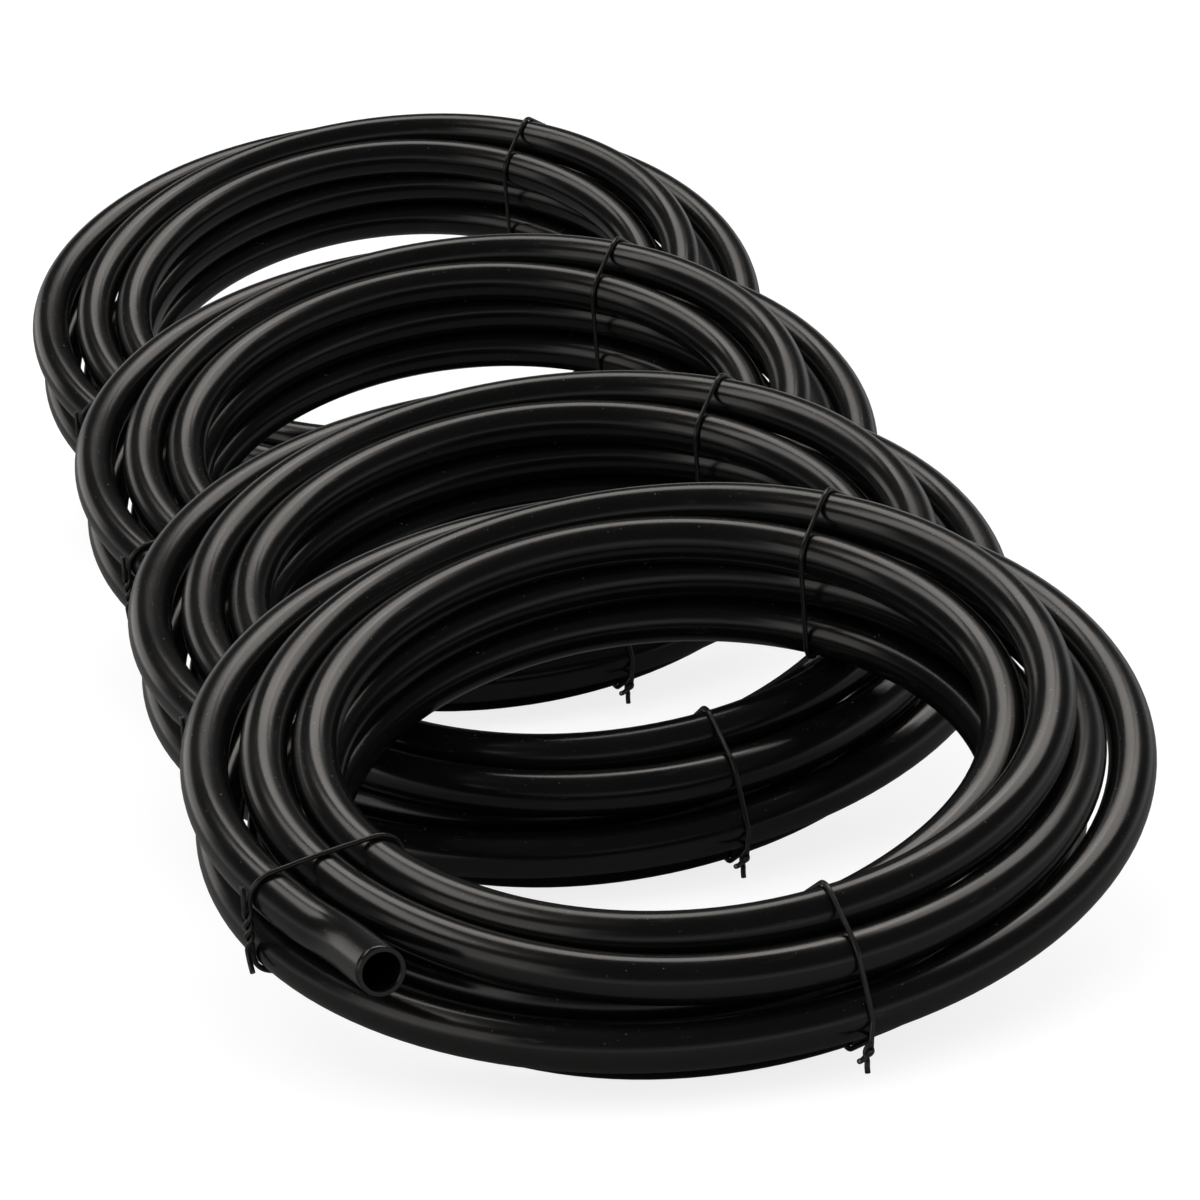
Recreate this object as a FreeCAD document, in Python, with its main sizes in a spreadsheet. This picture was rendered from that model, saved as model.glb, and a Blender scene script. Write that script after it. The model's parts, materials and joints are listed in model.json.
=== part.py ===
import FreeCAD
import Part
import math
import os

# Four tied coils of black polyethylene irrigation hose, laid in a row.
# Each coil leans back on the one behind it, with its front turn on the floor.
# Millimetres and degrees. +X is right, +Y runs back along the row, +Z is up.
# The origin is the middle of the front coil's foot, on the floor.

Vec = FreeCAD.Vector

SIZES = [
    ("hose_od", 16.0),
    ("hose_bore", 13.0),
    ("turn_gap", 0.05),
    ("ring_od", 320.0),
    ("start_length", 16.0),
    ("stub_length", 18.0),
    ("stub_bend", 95.0),
    ("free_out", 15.0),
    ("free_rise", 15.0),
    ("pressed_out", 8.0),
    ("pressed_rise", 0.0),
    ("foot_depth", 0.5),
    ("tilt_1", 16.8),
    ("tilt_2", 15.8),
    ("tilt_3", 18.4),
    ("tilt_4", 20.5),
    ("row_gap_1", 0.5),
    ("row_gap_2", 0.5),
    ("row_gap_3", 19.0),
    ("left_1", 29.0),
    ("left_2", 33.5),
    ("left_3", 34.5),
    ("tie_od", 1.8),
    ("wire_od", 0.8),
    ("wire_clearance", 0.05),
    ("tie_clearance", 0.2),
    ("twist_gap", 0.45),
    ("twist_pitch", 8.5),
    ("twist_length", 5.5),
    ("tail_ahead", 3.0),
    ("tail_apart", 2.5),
    ("knot_reach", 4.4),
    ("knot_lift", 0.4),
    ("splice_turns", 1.5),
    ("splice_reach", 11.0),
    ("splice_tail", 7.5),
]

doc = FreeCAD.newDocument("HoseCoils")
sheet = doc.addObject("Spreadsheet::Sheet", "Sizes")
for row, (name, value) in enumerate(SIZES, start=1):
    sheet.set("A%d" % row, name)
    sheet.set("B%d" % row, str(value))
    sheet.setAlias("B%d" % row, name)
doc.recompute()


def size(name):
    return float(sheet.get(name))


HOSE_OD = size("hose_od")
HOSE_BORE = size("hose_bore")
LANE = HOSE_OD + size("turn_gap")
RING_OD = size("ring_od")
TIE_OD = size("tie_od")
WIRE_OD = size("wire_od")

# The coil's own frame has its axis on Z and its lowest turn on Z = 0.
# Turns are counted from near the left tie, counter-clockwise seen from above.
# A lane is one hose diameter and the gap between turns. Lanes are counted
# outward from the innermost turn, and up from the lowest one.
LANES_WIDE = 2.36
INNER_RADIUS = (RING_OD - HOSE_OD) / 2 - LANES_WIDE * LANE
START_ANGLE = 218.0
FIRST_TURN = 0.17
LAST_TURN = 7.0

# The hose changes lane in smooth moves: the turn at the middle of the move,
# how much of a turn it takes, lanes outward and lanes upward.
LANE_MOVES = [
    (1.00, 0.32, 1.25, 0.00),
    (1.38, 0.36, -0.17, 0.00),
    (1.92, 0.34, 0.00, 1.10),
    (2.245, 0.32, -0.60, -0.14),
    (2.60, 0.34, -0.48, 0.10),
    (3.17, 0.32, 0.00, 0.82),
    (3.56, 0.34, 0.00, 0.24),
    (4.14, 0.30, 1.00, 0.36),
    (4.60, 0.34, 0.07, -0.34),
    (5.11, 0.26, 0.88, -0.02),
    (5.27, 0.30, -0.38, -0.64),
    (5.43, 0.30, -0.03, -0.50),
    (5.80, 0.34, 0.60, -0.30),
    (5.98, 0.36, 0.18, 0.34),
    (6.26, 0.30, 0.28, 0.00),
    (6.70, 0.34, -0.04, 0.56),
    (6.88, 0.30, -0.42, 0.54),
]
SPANS_PER_TURN = 4

# Label, plan angle, slant along the hose, outward normal where the knot sits,
# the knot's shift from there along the band, and the lean of its twist along
# the hose, outward and round the bundle. Without a lean the two ends don't
# stand out, but lie along the band in a splice, wrapped round each other.
TIES = [
    ("left_tie", 212.5, -9.0, 0.0, 10.5, None),
    ("right_tie", 291.5, -4.0, -15.0, 0.0, (-0.65, 0.72, -0.22)),
    ("back_tie", 60.0, 4.0, 0.0, 0.0, (0.95, 0.30, 0.0)),
]
# The directions of the splice's lower and upper tail, as leans.
LOW_TAIL = (0.75, 0.25, -0.60)
HIGH_TAIL = (-0.45, -0.22, 0.85)
MIDDLE_RADIUS = (RING_OD - HOSE_OD - LANES_WIDE * LANE) / 2
TIE_TO_HOSE = (HOSE_OD + TIE_OD) / 2
BAND_RADIUS = TIE_TO_HOSE + size("tie_clearance")
MARK_SPACING = 0.5
TWIST_RADIUS = (TIE_OD + size("twist_gap")) / 2
TWIST_EASE = 0.25
SPLICE_EASE = 0.2
TWIST_SPANS = 6
LEAST_SPANS = 4

# Lines are measured at points along them. Gaps are looked for this many
# diameters round a line, and a line's own gaps past this many along it.
HOSE_POINTS = 2.0
TIE_POINTS = 0.8
NEAR = 1.5
ROW_NEAR = 3.0
PAST = 4.0
SMALL_STEP = 1e-4

# The next coil in the row stands between these shares of the ring behind.
LEAST_STEP = 0.45
MOST_STEP = 1.1
STEP_TRIALS = 12


def smooth(part):
    part = min(max(part, 0.0), 1.0)
    return part ** 3 * (10 + part * (6 * part - 15))


def lane_place(turn):
    """Radius and height of the hose's middle at a count of turns."""
    out = 0.0
    up = 0.0
    for middle, width, move_out, move_up in LANE_MOVES:
        done = smooth((turn - middle) / width + 0.5)
        out += move_out * done
        up += move_up * done
    return INNER_RADIUS + out * LANE, HOSE_OD / 2 + up * LANE


def coil_point(turn):
    radius, height = lane_place(turn)
    angle = math.radians(START_ANGLE + 360 * turn)
    return Vec(radius * math.cos(angle), radius * math.sin(angle), height)


def heading(path, value):
    """The direction in which a path runs at one value."""
    ahead = path(value + SMALL_STEP) - path(value - SMALL_STEP)
    return ahead.normalize()


def bend_edge(start, corner, end, radii):
    """The arc that leaves start towards corner and reaches end from it."""
    first = corner - start
    second = end - corner
    turn = first.getAngle(second)
    if turn < 1e-6:
        return Part.LineSegment(start, end).toShape()
    radius = first.Length / math.tan(turn / 2)
    radii.append(radius)
    inward = (start + end) / 2 - corner
    inward.normalize()
    middle = corner + inward * (radius / math.cos(turn / 2) - radius)
    return Part.Arc(start, middle, end).toShape()


def biarc(start, start_dir, end, end_dir, radii):
    """Two arcs that join two points and leave them in given directions."""
    chord = end - start
    square = 2 * (1 - start_dir.dot(end_dir))
    linear = 2 * chord.dot(start_dir + end_dir)
    if square < 1e-9:
        reach = chord.dot(chord) / linear
    else:
        root = math.sqrt(linear ** 2 + 4 * square * chord.dot(chord))
        reach = (root - linear) / (2 * square)
    first_corner = start + start_dir * reach
    last_corner = end - end_dir * reach
    joint = (first_corner + last_corner) / 2
    return [
        bend_edge(start, first_corner, joint, radii),
        bend_edge(joint, last_corner, end, radii),
    ]


def pipe(wire, start, start_dir, diameter):
    """A solid round bar along a wire."""
    ring = Part.Wire([Part.Circle(start, start_dir, diameter / 2).toShape()])
    return wire.makePipeShell([ring], True, False)


def tube(wire, start, start_dir, outside, inside, label):
    """A tube along a wire, with its volume set against section times length."""
    bar = pipe(wire, start, start_dir, outside)
    shape = bar.cut(pipe(wire, start, start_dir, inside)).Solids[0]
    section = math.pi / 4 * (outside ** 2 - inside ** 2)
    ratio = shape.Volume / (section * wire.Length)
    print("%s: %.1f mm long" % (label, wire.Length))
    print("%s: volume over section times length %.4f" % (label, ratio))
    if abs(ratio - 1) > 0.01:
        raise ValueError("the tube of %s has the wrong volume" % label)
    return shape


def in_wire_order(steps, points):
    """An edge's points, turned round where it runs against the wire."""
    if not points:
        return steps
    last = points[-1][1]
    if (steps[0] - last).Length > (steps[-1] - last).Length:
        return steps[::-1]
    return steps


def path_points(wire, spacing):
    """Points along a wire, each with its distance from the start."""
    points = []
    travelled = 0.0
    for edge in wire.OrderedEdges:
        count = max(2, int(math.ceil(edge.Length / spacing)) + 1)
        steps = in_wire_order(edge.discretize(Number=count), points)
        for number, point in enumerate(steps[:-1]):
            points.append((travelled + edge.Length * number / (count - 1), point))
        travelled += edge.Length
        last = steps[-1]
    points.append((travelled, last))
    return points


def moved(placement, points):
    """Points along a line, set at a placement."""
    return [(along, placement.multVec(point)) for along, point in points]


def cell_of(point, cell):
    return (int(point.x // cell), int(point.y // cell), int(point.z // cell))


def least_distance(points_a, points_b, reach, apart=None):
    """The least distance between two sets of points, seen up to reach."""
    cells = {}
    for along, point in points_b:
        cells.setdefault(cell_of(point, reach), []).append((along, point))
    least = reach
    for along, point in points_a:
        ix, iy, iz = cell_of(point, reach)
        for jx in (ix - 1, ix, ix + 1):
            for jy in (iy - 1, iy, iy + 1):
                for jz in (iz - 1, iz, iz + 1):
                    for other_along, other in cells.get((jx, jy, jz), ()):
                        if apart is not None and abs(along - other_along) < apart:
                            continue
                        least = min(least, point.distanceToPoint(other))
    return least


# The hose's middle line: a straight start, biarcs of a quarter turn, and the
# straight end that stands free past the left tie.
coil_radii = []
span_count = int(math.ceil((LAST_TURN - FIRST_TURN) * SPANS_PER_TURN))
span_turns = [
    FIRST_TURN + (LAST_TURN - FIRST_TURN) * number / span_count
    for number in range(span_count + 1)
]
stations = [(coil_point(turn), heading(coil_point, turn)) for turn in span_turns]
first_point, first_dir = stations[0]
last_point, last_dir = stations[-1]
hose_start = first_point - first_dir * size("start_length")
coil_edges = [Part.LineSegment(hose_start, first_point).toShape()]
for (point_a, dir_a), (point_b, dir_b) in zip(stations, stations[1:]):
    coil_edges += biarc(point_a, dir_a, point_b, dir_b, coil_radii)


def whole_hose(stub_out, stub_rise, label):
    """The hose of one coil, its wire and points along its middle line.

    Past the left tie it turns outward and rises before its straight end.
    """
    radii = list(coil_radii)
    level = math.atan2(last_dir.y, last_dir.x) - math.radians(stub_out)
    rise = math.radians(stub_rise)
    stub_dir = Vec(math.cos(level), math.sin(level), math.tan(rise)).normalize()
    swing = last_dir.getAngle(stub_dir)
    chord = (last_dir + stub_dir).normalize() * (2 * size("stub_bend") * math.sin(swing / 2))
    stub_start = last_point + chord
    stub_end = stub_start + stub_dir * size("stub_length")
    edges = coil_edges + biarc(last_point, last_dir, stub_start, stub_dir, radii)
    edges.append(Part.LineSegment(stub_start, stub_end).toShape())
    wire = Part.Wire(edges)
    print("%s: %d arcs, radii %.0f to %.0f mm" % (label, len(radii), min(radii), max(radii)))
    points = path_points(wire, HOSE_POINTS)
    gap = least_distance(points, points, NEAR * HOSE_OD, PAST * HOSE_OD) - HOSE_OD
    print("%s: least gap to itself %.2f mm" % (label, gap))
    shape = tube(wire, hose_start, first_dir, HOSE_OD, HOSE_BORE, label)
    return shape, points, stub_end, stub_dir


front_hose = whole_hose(size("free_out"), size("free_rise"), "front hose")
other_hose = whole_hose(size("pressed_out"), size("pressed_rise"), "other hoses")


def turns_at(outward, along_hose, shear):
    """Radius and height of each turn of the hose where a tie's plane cuts it."""
    found = []
    points = [point for along, point in front_hose[1]]
    for here, ahead in zip(points, points[1:]):
        if here.dot(outward) < 0:
            continue
        off = here.dot(along_hose) - shear * (here.dot(outward) - MIDDLE_RADIUS)
        off_ahead = ahead.dot(along_hose) - shear * (ahead.dot(outward) - MIDDLE_RADIUS)
        if off <= 0 < off_ahead:
            spot = here + (ahead - here) * (-off / (off_ahead - off))
            found.append((spot.dot(outward), spot.z))
    return found


def left_turn(first, second, third):
    """Above zero where the way from first by second to third turns left."""
    across = (second[0] - first[0]) * (third[1] - first[1])
    return across - (second[1] - first[1]) * (third[0] - first[0])


def outer_corners(spots):
    """The spots that a stretched band touches, counter-clockwise."""
    spots = sorted(spots)
    chains = []
    for order in (spots, spots[::-1]):
        chain = []
        for spot in order:
            while len(chain) > 1 and left_turn(chain[-2], chain[-1], spot) <= 1e-9:
                chain.pop()
            chain.append(spot)
        chains.append(chain[:-1])
    return chains[0] + chains[1]


def beside(spot, normal, radius):
    """The point at a radius from a spot, in the direction of the normal."""
    return (spot[0] + radius * math.cos(normal), spot[1] + radius * math.sin(normal))


def band_pieces(spots):
    """The band round the turns, as straight pieces and bends in order.

    Each piece is its length, its start or the middle of its bend, the angle
    of its outward normal at the start, and whether it is a bend.
    """
    corners = outer_corners(spots)
    pieces = []
    for number, corner in enumerate(corners):
        before = corners[number - 1]
        after = corners[(number + 1) % len(corners)]
        normal_in = math.atan2(corner[1] - before[1], corner[0] - before[0]) - math.pi / 2
        normal_out = math.atan2(after[1] - corner[1], after[0] - corner[0]) - math.pi / 2
        swing = (normal_out - normal_in) % (2 * math.pi)
        pieces.append((BAND_RADIUS * swing, corner, normal_in, True))
        straight = math.hypot(after[0] - corner[0], after[1] - corner[1])
        pieces.append((straight, beside(corner, normal_out, BAND_RADIUS), normal_out, False))
    return pieces


def on_piece(piece, along):
    """Place and outward normal at a distance along one piece."""
    length, origin, normal, bends = piece
    if bends:
        normal += along / BAND_RADIUS
        return beside(origin, normal, BAND_RADIUS), normal
    return beside(origin, normal + math.pi / 2, along), normal


def leaning(directions, lean):
    """The unit vector with these parts along three directions."""
    found = Vec(0, 0, 0)
    for direction, part in zip(directions, lean):
        found += direction * part
    return found.normalize()


def standing_ends(knot, directions, lean):
    """Stations of the two ends where they stand out of the band, twisted."""
    axis = leaning(directions, lean)
    normal_dir, round_dir = directions[1:]
    across = round_dir - axis * round_dir.dot(axis)
    across.normalize()
    side = axis.cross(across)
    root = knot + normal_dir * size("knot_lift")
    root += axis * (size("knot_reach") - TWIST_RADIUS)
    length = size("twist_length")
    turns = length / size("twist_pitch")

    def strand(begin):
        def path(share):
            # the twist starts straight and eases into its pitch
            if share < TWIST_EASE:
                eased = share ** 2 / (2 * TWIST_EASE)
            else:
                eased = share - TWIST_EASE / 2
            swing = begin + 2 * math.pi * turns * eased
            offset = across * math.cos(swing) + side * math.sin(swing)
            return root + axis * (length * share) + offset * TWIST_RADIUS

        spans = max(LEAST_SPANS, int(math.ceil(turns * TWIST_SPANS)))
        found = [(path(0.0), Vec(axis))]
        for number in range(1, spans + 1):
            found.append((path(number / spans), heading(path, number / spans)))
        end = found[-1][0]
        splay = end - root - axis * (end - root).dot(axis)
        splay.normalize()
        tail = axis * size("tail_ahead") + splay * size("tail_apart")
        found.append((end + tail, Vec(tail).normalize()))
        return found

    first = [(point, ahead * -1) for point, ahead in reversed(strand(0.0))]
    return first, strand(math.pi)


def spliced_ends(knot, directions):
    """Stations of the two ends where they lie along the band, wrapped.

    Both run up the band. The first comes from its tail below, the other goes
    on into its tail above.
    """
    along_hose, normal_dir, round_dir = directions
    middle = knot + normal_dir * TWIST_RADIUS
    turns = size("splice_turns")
    length = turns * size("twist_pitch") / (1 - SPLICE_EASE)

    def strand(begin):
        def path(share):
            # the splice eases into its pitch and out of it
            from_end = min(share, 1 - share)
            if from_end < SPLICE_EASE:
                eased = from_end ** 2 / (2 * SPLICE_EASE)
            else:
                eased = from_end - SPLICE_EASE / 2
            eased /= 1 - SPLICE_EASE
            if share > 0.5:
                eased = 1 - eased
            swing = begin + 2 * math.pi * turns * eased
            offset = normal_dir * math.cos(swing) + along_hose * math.sin(swing)
            return middle + round_dir * (length * (share - 0.5)) + offset * TWIST_RADIUS

        spans = int(math.ceil(turns * TWIST_SPANS / (1 - SPLICE_EASE)))
        shares = [number / spans for number in range(spans + 1)]
        return [(path(share), heading(path, share)) for share in shares]

    first, last = strand(0.0), strand(math.pi)
    low = leaning(directions, LOW_TAIL)
    high = leaning(directions, HIGH_TAIL)
    first.insert(0, (first[0][0] + low * size("splice_tail"), low * -1))
    last.append((last[-1][0] + high * size("splice_tail"), high))
    return first, last


def tie_shapes(label, angle, slant, knot_angle, knot_shift, lean):
    """Jacket and wire of one tie, and the points of its middle line.

    The tie goes round all the turns at a plan angle, slanted along them. Its
    ends are twisted together at a shift along the band from where the band's
    outward normal has knot_angle.
    """
    plan = math.radians(angle)
    outward = Vec(math.cos(plan), math.sin(plan), 0)
    along_hose = Vec(-math.sin(plan), math.cos(plan), 0)
    shear = math.tan(math.radians(slant))
    pieces = band_pieces(turns_at(outward, along_hose, shear))

    def place(spot):
        sideways = shear * (spot[0] - MIDDLE_RADIUS)
        return outward * spot[0] + along_hose * sideways + Vec(0, 0, spot[1])

    # where the knot sits, as a distance along the band
    knot = math.radians(knot_angle)
    travelled = 0.0
    knot_at = None
    for length, origin, normal, bends in pieces:
        swing = (knot - normal) % (2 * math.pi)
        if bends and knot_at is None and swing <= length / BAND_RADIUS:
            knot_at = travelled + swing * BAND_RADIUS + knot_shift
        travelled += length
    band_length = travelled

    def on_band(distance):
        distance %= band_length
        for piece in pieces:
            if distance <= piece[0] + 1e-9:
                return on_piece(piece, distance)
            distance -= piece[0]

    # stations on the band: its joints, and the middles of the long bends
    reach = size("splice_reach" if lean is None else "knot_reach")
    marks = [reach, band_length - reach]
    travelled = 0.0
    for length, origin, normal, bends in pieces:
        marks.append((travelled - knot_at) % band_length)
        if bends and length > BAND_RADIUS * math.pi / 3:
            marks.append((travelled + length / 2 - knot_at) % band_length)
        travelled += length
    marks = [mark for mark in marks if reach <= mark <= band_length - reach]
    marks.sort()
    kept = [marks[0]]
    for mark in marks[1:]:
        if mark - kept[-1] > MARK_SPACING:
            kept.append(mark)
    kept[-1] = band_length - reach

    def band_point(mark):
        spot, normal = on_band(knot_at + mark)
        return place(spot)

    def band_dir(mark):
        spot, normal = on_band(knot_at + mark)
        flat = Vec(0, 0, 0) - outward * math.sin(normal)
        flat -= along_hose * (shear * math.sin(normal))
        flat += Vec(0, 0, math.cos(normal))
        return flat.normalize()

    knot_spot, knot_normal = on_band(knot_at)
    normal_dir = outward * math.cos(knot_normal) + Vec(0, 0, math.sin(knot_normal))
    round_dir = Vec(0, 0, math.cos(knot_normal)) - outward * math.sin(knot_normal)
    directions = (along_hose, normal_dir, round_dir)
    if lean is None:
        first_end, last_end = spliced_ends(place(knot_spot), directions)
    else:
        first_end, last_end = standing_ends(place(knot_spot), directions, lean)
    loop = [(band_point(mark), band_dir(mark)) for mark in kept]
    stations = first_end + loop + last_end
    radii = []
    edges = []
    for (point_a, dir_a), (point_b, dir_b) in zip(stations, stations[1:]):
        edges += biarc(point_a, dir_a, point_b, dir_b, radii)
    wire = Part.Wire(edges)
    points = path_points(wire, TIE_POINTS)
    gap_to_self = least_distance(points, points, NEAR * TIE_OD, PAST * TIE_OD) - TIE_OD
    gap_to_hose = least_distance(points, front_hose[1], NEAR * HOSE_OD) - TIE_TO_HOSE
    print("%s: %d arcs, least radius %.1f mm" % (label, len(radii), min(radii)))
    print("%s: gap to itself %.2f mm, to the hose %.2f mm" % (label, gap_to_self, gap_to_hose))
    start, start_dir = stations[0]
    bore = WIRE_OD + 2 * size("wire_clearance")
    jacket = tube(wire, start, start_dir, TIE_OD, bore, label + " jacket")
    core = pipe(wire, start, start_dir, WIRE_OD)
    return jacket, core, points


ties = []
for label, *facts in TIES:
    ties.append((label,) + tie_shapes(label, *facts))

# Each coil stands tilted on the foot that is cut flat under its front turn.
# From the front, each next coil stands as near behind as leaves the gap that
# is named for the two, with their ties in place.
TILTS = [size("tilt_%d" % number) for number in (1, 2, 3, 4)]
LEFTS = [0.0, size("left_1"), size("left_2"), size("left_3")]
ROW_GAPS = [size("row_gap_%d" % number) for number in (1, 2, 3)]
hoses = [front_hose, other_hose, other_hose, other_hose]
tilted_lines = []
lows = []
for hose, tilt in zip(hoses, TILTS):
    leaning = FreeCAD.Placement(Vec(0, 0, 0), FreeCAD.Rotation(Vec(1, 0, 0), tilt))
    hose_points = moved(leaning, hose[1])
    tie_points = []
    for label, jacket_shape, core_shape, points in ties:
        tie_points += moved(leaning, points)
    tilted_lines.append([(hose_points, HOSE_OD), (tie_points, TIE_OD)])
    lows.append(min((point for along, point in hose_points), key=lambda spot: spot.z))


def row_gap(number, back):
    """Gap between a coil and the next one when that stands back behind it."""
    shift = Vec(-LEFTS[number + 1], back, lows[number].z - lows[number + 1].z)
    least = ROW_NEAR * HOSE_OD
    for front_points, front_od in tilted_lines[number]:
        back_limit = max(point.y for along, point in front_points) + ROW_NEAR * HOSE_OD
        for rear_points, rear_od in tilted_lines[number + 1]:
            rear = [(along, point + shift) for along, point in rear_points]
            front_limit = min(point.y for along, point in rear) - ROW_NEAR * HOSE_OD
            near = [pair for pair in front_points if pair[1].y > front_limit]
            far = [pair for pair in rear if pair[1].y < back_limit]
            gap = least_distance(near, far, ROW_NEAR * HOSE_OD) - (front_od + rear_od) / 2
            least = min(least, gap)
    return least


def step_back(number):
    """How far back the next coil stands for its named gap."""
    low = LEAST_STEP * RING_OD
    high = MOST_STEP * RING_OD
    for trial in range(STEP_TRIALS):
        middle = (low + high) / 2
        if row_gap(number, middle) < ROW_GAPS[number]:
            low = middle
        else:
            high = middle
    return high


places = []
sideways = -lows[0].x
backward = -lows[0].y
for number in range(4):
    if number:
        sideways -= LEFTS[number]
        step = step_back(number - 1)
        backward += step
        print("coil %d stands %.1f mm behind the one before" % (number + 1, step))
    lift = HOSE_OD / 2 - size("foot_depth") - lows[number].z
    turned = FreeCAD.Rotation(Vec(1, 0, 0), TILTS[number])
    places.append(FreeCAD.Placement(Vec(sideways, backward, lift), turned))

parts = []
for number, place in enumerate(places, start=1):
    coil = "coil_%d" % number
    end_point = place.multVec(hoses[number - 1][2])
    end_dir = place.Rotation.multVec(hoses[number - 1][3])
    print("%s hose end at (%.6f, %.6f, %.6f)" % ((coil,) + tuple(end_point)))
    print("%s hose end points (%.9f, %.9f, %.9f)" % ((coil,) + tuple(end_dir)))
    whole = doc.addObject("Part::Feature", coil + "_whole_hose")
    whole.Shape = hoses[number - 1][0]
    whole.Placement = place
    floor = doc.addObject("Part::Box", coil + "_floor")
    floor.setExpression("Length", "Sizes.ring_od")
    floor.setExpression("Width", "Sizes.ring_od")
    floor.setExpression("Height", "Sizes.hose_od")
    corner = Vec(place.Base.x - RING_OD / 2, place.Base.y - RING_OD / 2, -HOSE_OD)
    floor.Placement = FreeCAD.Placement(corner, FreeCAD.Rotation())
    hose = doc.addObject("Part::Cut", coil + "_hose")
    hose.Base = whole
    hose.Tool = floor
    hose.Label = coil + "_hose"
    parts.append(hose)
    for label, jacket_shape, core_shape, points in ties:
        for ending, shape in (("jacket", jacket_shape), ("wire", core_shape)):
            node = "%s_%s_%s" % (coil, label, ending)
            piece = doc.addObject("Part::Feature", node)
            piece.Shape = shape
            piece.Placement = place
            piece.Label = node
            parts.append(piece)
        lowest = min(point.z for along, point in moved(place, points)) - TIE_OD / 2
        print("%s %s: %.2f mm above the floor" % (coil, label, lowest))

# What lies between one coil's ties and the hoses of its neighbours.
for number in range(3):
    hose_front = moved(places[number], hoses[number][1])
    hose_rear = moved(places[number + 1], hoses[number + 1][1])
    gap = least_distance(hose_front, hose_rear, ROW_NEAR * HOSE_OD) - HOSE_OD
    print("coils %d and %d: hoses %.2f mm apart" % (number + 1, number + 2, gap))
    for label, jacket_shape, core_shape, points in ties:
        behind = least_distance(moved(places[number], points), hose_rear, NEAR * HOSE_OD)
        before = least_distance(moved(places[number + 1], points), hose_front, NEAR * HOSE_OD)
        gaps = (behind - TIE_TO_HOSE, before - TIE_TO_HOSE)
        print("coils %d and %d, %s: gaps %.1f and %.1f" % ((number + 1, number + 2, label) + gaps))

doc.recompute()
for item in doc.Objects:
    if "Invalid" in item.State or "Error" in item.State:
        raise RuntimeError("%s did not compute" % item.Label)
for piece in parts:
    if piece.Shape.isNull() or not piece.Shape.isValid():
        raise RuntimeError("%s has no valid shape" % piece.Label)

os.makedirs("parts", exist_ok=True)
for piece in parts:
    piece.Shape.exportStep("parts/%s.step" % piece.Label)
print("wrote %d parts" % len(parts))
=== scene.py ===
# %% [markdown]
# # A row of coiled irrigation hoses
#
# The object is a set of four coils of black polyethylene hose. Each coil is one
# tube of about seven turns, held by three wire ties. The CAD model is loaded
# first and never changed: it says where each coil lies and which body carries it.

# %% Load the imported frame
import bpy
import bmesh
import json
import math
from mathutils import Matrix, Vector
from mathutils.geometry import convex_hull_2d


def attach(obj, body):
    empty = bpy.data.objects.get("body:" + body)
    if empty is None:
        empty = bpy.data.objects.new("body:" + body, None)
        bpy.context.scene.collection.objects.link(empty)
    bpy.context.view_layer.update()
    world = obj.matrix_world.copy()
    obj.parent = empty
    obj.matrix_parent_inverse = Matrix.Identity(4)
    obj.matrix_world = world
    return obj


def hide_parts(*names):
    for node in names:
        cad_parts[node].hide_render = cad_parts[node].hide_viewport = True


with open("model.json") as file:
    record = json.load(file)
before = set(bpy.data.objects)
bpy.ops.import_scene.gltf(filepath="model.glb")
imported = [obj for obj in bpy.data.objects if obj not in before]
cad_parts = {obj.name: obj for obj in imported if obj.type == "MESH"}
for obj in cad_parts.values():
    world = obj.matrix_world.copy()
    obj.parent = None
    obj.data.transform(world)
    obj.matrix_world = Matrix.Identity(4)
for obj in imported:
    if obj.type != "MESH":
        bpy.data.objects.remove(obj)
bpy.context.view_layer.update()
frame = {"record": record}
mounts = {mount["name"]: mount for mount in frame["record"]["mounts"]}

# %% [markdown]
# ## The coil's winding
#
# A hose is wound like thread on a spool that nobody guides: it keeps to a lane
# for most of a turn, then slips over its neighbour into another lane. So the
# route is a circle whose radius and height change in short smooth moves. The
# moves are the same as in the CAD source and are given in lanes: one lane is
# the hose's own width and a sliver of air.

# %% Sizes of the hose and its lanes
HOSE_OD = 0.016
HOSE_BORE = 0.013
TURN_GAP = 0.00005
LANE = HOSE_OD + TURN_GAP
RING_OD = 0.320
LANES_WIDE = 2.36
INNER_RADIUS = RING_OD / 2 - HOSE_OD / 2 - LANES_WIDE * LANE
START_ANGLE = 218.0
FIRST_TURN = 0.17
LAST_TURN = 7.0
# the turn at the middle of a move, its share of a turn, lanes outward, lanes up
LANE_MOVES = [
    (1.00, 0.32, 1.25, 0.00),
    (1.38, 0.36, -0.17, 0.00),
    (1.92, 0.34, 0.00, 1.10),
    (2.245, 0.32, -0.60, -0.14),
    (2.60, 0.34, -0.48, 0.10),
    (3.17, 0.32, 0.00, 0.82),
    (3.56, 0.34, 0.00, 0.24),
    (4.14, 0.30, 1.00, 0.36),
    (4.60, 0.34, 0.07, -0.34),
    (5.11, 0.26, 0.88, -0.02),
    (5.27, 0.30, -0.38, -0.64),
    (5.43, 0.30, -0.03, -0.50),
    (5.80, 0.34, 0.60, -0.30),
    (5.98, 0.36, 0.18, 0.34),
    (6.26, 0.30, 0.28, 0.00),
    (6.70, 0.34, -0.04, 0.56),
    (6.88, 0.30, -0.42, 0.54),
]


def eased(part):
    """A smooth step from 0 to 1."""
    part = min(max(part, 0.0), 1.0)
    return part ** 3 * (10 + part * (6 * part - 15))


def coil_point(turn, widen=1.0):
    """A point of the hose's middle line, in the coil's own frame."""
    out = up = 0.0
    for middle, width, move_out, move_up in LANE_MOVES:
        done = eased((turn - middle) / width + 0.5)
        out += move_out * done
        up += move_up * done
    radius = (INNER_RADIUS + out * LANE) * widen
    angle = math.radians(START_ANGLE + 360 * turn)
    return Vector((radius * math.cos(angle), radius * math.sin(angle), HOSE_OD / 2 + up * LANE))


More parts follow.
